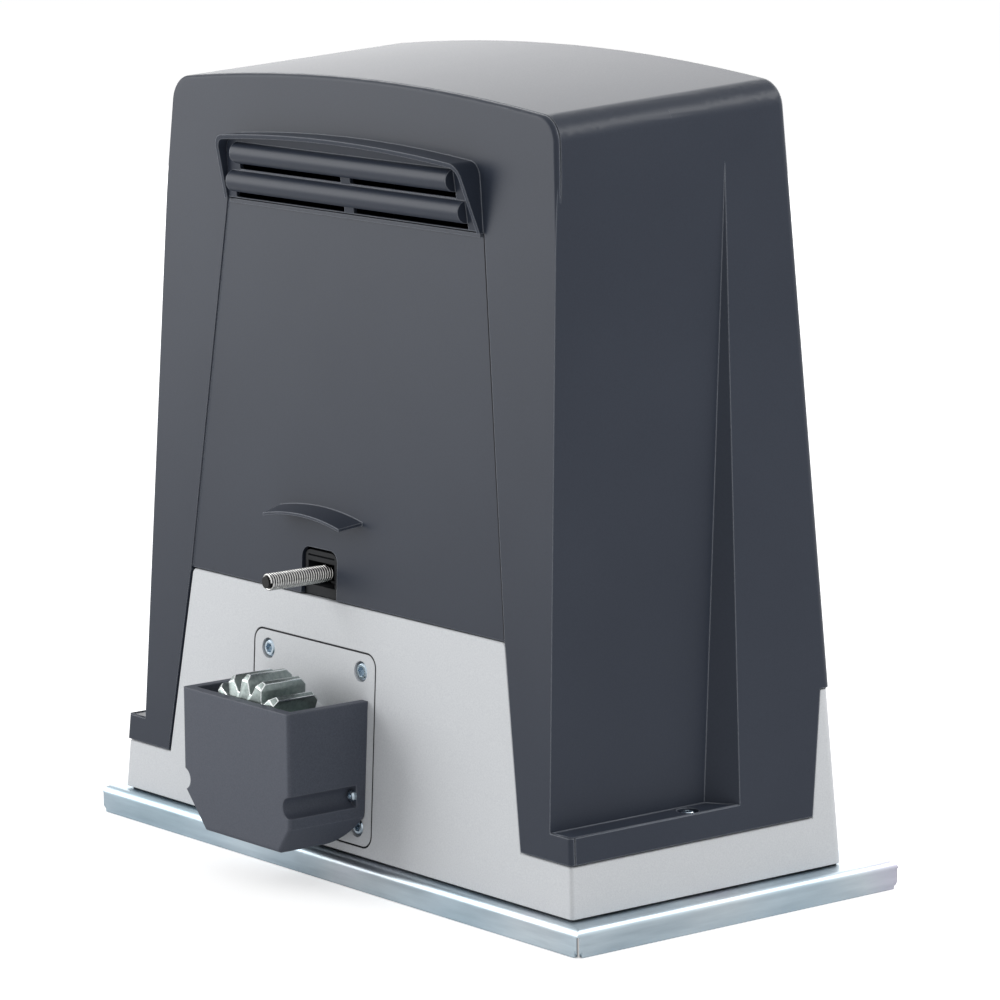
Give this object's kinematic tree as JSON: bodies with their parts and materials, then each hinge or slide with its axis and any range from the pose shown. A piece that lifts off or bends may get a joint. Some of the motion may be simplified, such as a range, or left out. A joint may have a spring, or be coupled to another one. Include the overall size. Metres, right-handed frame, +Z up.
{
  "type": "sliding gate motor",
  "caption": "Sliding gate drive: tapered graphite cover on a light grey cast casing and zinc base tray, with a guarded rack pinion and a sprung limit arm.",
  "frame": {"origin": "on the ground, under the middle of the whole footprint, which runs from the pinion guard's front to the base plate's far edge", "axes": "+X is the way the gate travels, -Y faces the gate and the pinion's rack, +Z is up"},
  "size_m": [0.429, 0.266, 0.4437],
  "materials": {
    "zinc_plated_steel": "zinc plated, slightly iridescent",
    "gasket_rubber": "matt soft rubber",
    "casing_paint": "light grey powder paint on die-cast aluminium",
    "graphite_plastic": "fine-textured graphite grey moulding",
    "guard_paint": "matt dark grey",
    "zinc_screw": "bright bluish zinc",
    "gear_steel": "zinc plated machined steel",
    "shaft_steel": "ground steel",
    "wheel_bronze": "machined bronze",
    "bearing_steel": "polished bearing steel",
    "seal_rubber": "nitrile rubber",
    "cast_aluminium": "as-cast aluminium",
    "motor_steel": "black painted steel",
    "lamination": "stacked steel laminations",
    "copper_winding": "varnished copper wire",
    "switch_plastic": "dark grey moulding",
    "spring_steel": "bright spring steel",
    "plug_plastic": "black moulding",
    "lever_zinc": "dark grey painted zinc casting",
    "lock_metal": "bright nickel",
    "board_green": "solder-masked glass-epoxy",
    "terminal_plastic": "green moulding",
    "relay_plastic": "blue-black moulding",
    "transformer_yellow": "taped winding on laminations",
    "capacitor_can": "drawn aluminium"
  },
  "bodies": {
    "root": {"base_plate": "zinc_plated_steel", "base_gasket": "gasket_rubber", "levelling_screws": "zinc_screw", "casing": "casing_paint", "flange_plate": "casing_paint", "flange_screws": "zinc_screw", "cover": "graphite_plastic", "cover_screws": "zinc_screw", "gate_side_panel": "graphite_plastic", "louvre_plate": "graphite_plastic", "pinion_guard": "guard_paint", "guard_screws": "zinc_screw", "front_bearing": "bearing_steel", "rear_bearing": "bearing_steel", "shaft_seal": "seal_rubber", "gearbox_housing": "cast_aluminium", "gearbox_cover": "cast_aluminium", "gearbox_screws": "zinc_screw", "worm_bearings": "bearing_steel", "motor_flange": "cast_aluminium", "motor_can": "motor_steel", "motor_stator": "lamination", "motor_windings": "copper_winding", "motor_end_cap": "cast_aluminium", "motor_bearing": "bearing_steel", "motor_screws": "zinc_screw", "limit_switch_housing": "switch_plastic", "limit_microswitches": "plug_plastic", "cable_bush": "seal_rubber", "board_carrier": "switch_plastic", "control_board": "board_green", "terminal_blocks": "terminal_plastic", "relays": "relay_plastic", "transformer": "transformer_yellow", "transformer_bracket": "zinc_plated_steel", "run_capacitor": "capacitor_can"},
    "rotor": {"motor_rotor": "lamination", "worm_shaft": "shaft_steel"},
    "output": {"output_shaft": "shaft_steel", "drive_pinion": "gear_steel", "pinion_key": "shaft_steel", "pinion_retainer": "zinc_screw", "worm_wheel": "wheel_bronze"},
    "limit_arm": {"limit_spring": "spring_steel", "limit_arm_core": "plug_plastic", "limit_pivot": "switch_plastic"},
    "release_handle": {"release_lever": "lever_zinc"},
    "lock": {"lock_barrel": "lock_metal"},
    "release_pin": {"release_rod": "shaft_steel"}
  },
  "joints": [
    {"name": "rotor_spin", "type": "hinge", "parent": "root", "child": "rotor", "pos_m": [0.026, -0.017, 0.15], "axis": [0, 0, 1], "continuous": true},
    {"name": "output_spin", "type": "hinge", "parent": "root", "child": "output", "pos_m": [-0.024, -0.099, 0.075], "axis": [0, 1, 0], "continuous": true},
    {"name": "limit_arm_swing", "type": "hinge", "parent": "root", "child": "limit_arm", "pos_m": [-0.022, -0.061, 0.1645], "axis": [0, 0, 1], "range_deg": [-15, 15], "stiffness_Nm_per_rad": 0.4},
    {"name": "release_turn", "type": "hinge", "parent": "root", "child": "release_handle", "pos_m": [-0.024, 0.106, 0.075], "axis": [0, -1, 0], "range_deg": [0, 90]},
    {"name": "lock_turn", "type": "hinge", "parent": "release_handle", "child": "lock", "pos_m": [-0.024, 0.114, 0.075], "axis": [0, 1, 0], "range_deg": [0, 90]},
    {"name": "release_push", "type": "slide", "parent": "root", "child": "release_pin", "axis": [0, -1, 0], "range_m": [0, 0.006]}
  ],
  "couplings": [
    {"joint": "output_spin", "follows": "rotor_spin", "ratio": 0.033333},
    {"joint": "release_push", "follows": "release_turn", "m_per_rad": 0.0038}
  ]
}
